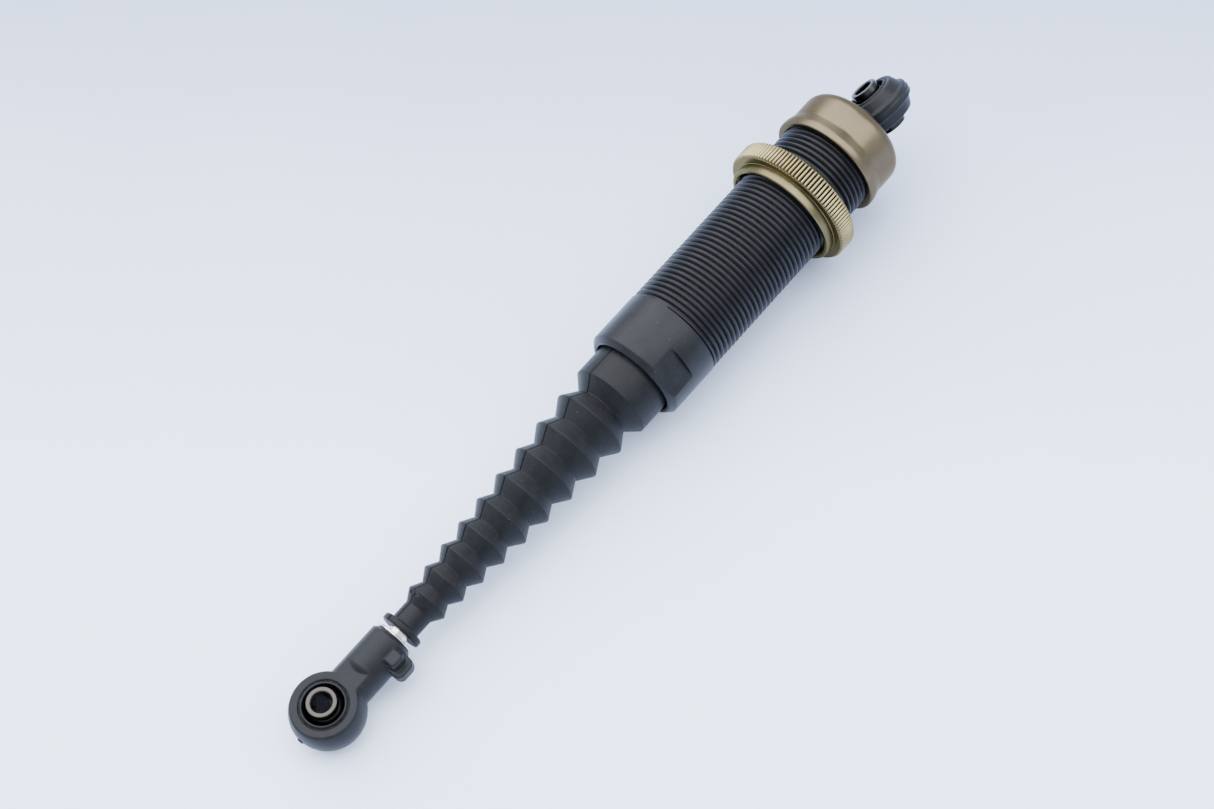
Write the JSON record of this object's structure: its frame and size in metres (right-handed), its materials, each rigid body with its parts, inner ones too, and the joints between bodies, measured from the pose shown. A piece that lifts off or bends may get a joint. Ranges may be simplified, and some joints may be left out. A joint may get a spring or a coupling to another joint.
{
  "type": "coil-over damper",
  "caption": "Oil-filled coil-over damper with a threaded black body, knurled gold preload nut, bronze cap, ribbed rubber boot and moulded ball-joint eyes, shown without its spring.",
  "frame": {"origin": "centre of the lower eye's bore", "axes": "+X along the damper from the lower eye to the upper eye, +Z along the lower eye's bore, +Y completes a right-handed frame"},
  "size_m": [0.2216, 0.035, 0.035],
  "materials": {
    "black_anodised": "satin black anodised",
    "bronze_anodised": "satin bronze anodised",
    "gold_anodised": "satin pale gold anodised",
    "plain_aluminium": "turned",
    "black_nylon": "moulded glass-filled nylon",
    "boot_rubber": "moulded rubber",
    "black_seal": "nitrile rubber",
    "red_seal": "silicone rubber",
    "white_acetal": "turned acetal",
    "bearing_bronze": "sintered bronze",
    "polished_steel": "ground and polished",
    "spring_steel": "spring steel",
    "ball_steel": "turned and oiled steel"
  },
  "bodies": {
    "damper_body": {"shock_body": "black_anodised", "top_cap": "bronze_anodised", "cap_seal": "black_seal", "bladder": "black_seal", "upper_eyelet": "black_nylon", "upper_guide_bush": "bearing_bronze", "seal_carrier": "plain_aluminium", "carrier_seal": "black_seal", "rod_seals": "red_seal", "seal_spacer": "white_acetal", "gland_nut": "plain_aluminium", "wiper_seal": "black_seal", "lower_guide_bush": "bearing_bronze", "boot": "boot_rubber"},
    "piston_slider": {"piston": "white_acetal"},
    "rod": {"piston_rod": "polished_steel", "piston_clips": "spring_steel", "rod_end": "black_nylon", "shank_washer": "polished_steel"},
    "lower_pivot": {"lower_ball": "ball_steel"},
    "upper_pivot": {"upper_ball": "ball_steel"},
    "thread_follower": {"nut_ring": "black_seal"},
    "nut": {"preload_nut": "gold_anodised"}
  },
  "joints": [
    {"name": "rod_slide", "type": "slide", "parent": "damper_body", "child": "piston_slider", "axis": [1, 0, 0], "range_m": [0, 0.045], "deforming": ["boot"]},
    {"name": "rod_spin", "type": "hinge", "parent": "piston_slider", "child": "rod", "pos_m": [0.1275, 0, 0], "axis": [1, 0, 0], "continuous": true},
    {"name": "lower_ball_tilt", "type": "hinge", "parent": "rod", "child": "lower_pivot", "pos_m": [0, 0, 0], "axis": [0, 1, 0], "range_deg": [-10, 10]},
    {"name": "upper_ball_tilt", "type": "hinge", "parent": "damper_body", "child": "upper_pivot", "pos_m": [0.2034, 0, 0], "axis": [0, 0.6428, -0.766], "range_deg": [-10, 10]},
    {"name": "preload_travel", "type": "slide", "parent": "damper_body", "child": "thread_follower", "axis": [1, 0, 0], "range_m": [-0.0391, 0.0091]},
    {"name": "preload_turn", "type": "hinge", "parent": "thread_follower", "child": "nut", "pos_m": [0.16875, 0, 0], "axis": [1, 0, 0], "range_deg": [-9360, 2160]}
  ],
  "couplings": [
    {"joint": "preload_travel", "follows": "preload_turn", "m_per_rad": 0.00023873}
  ]
}
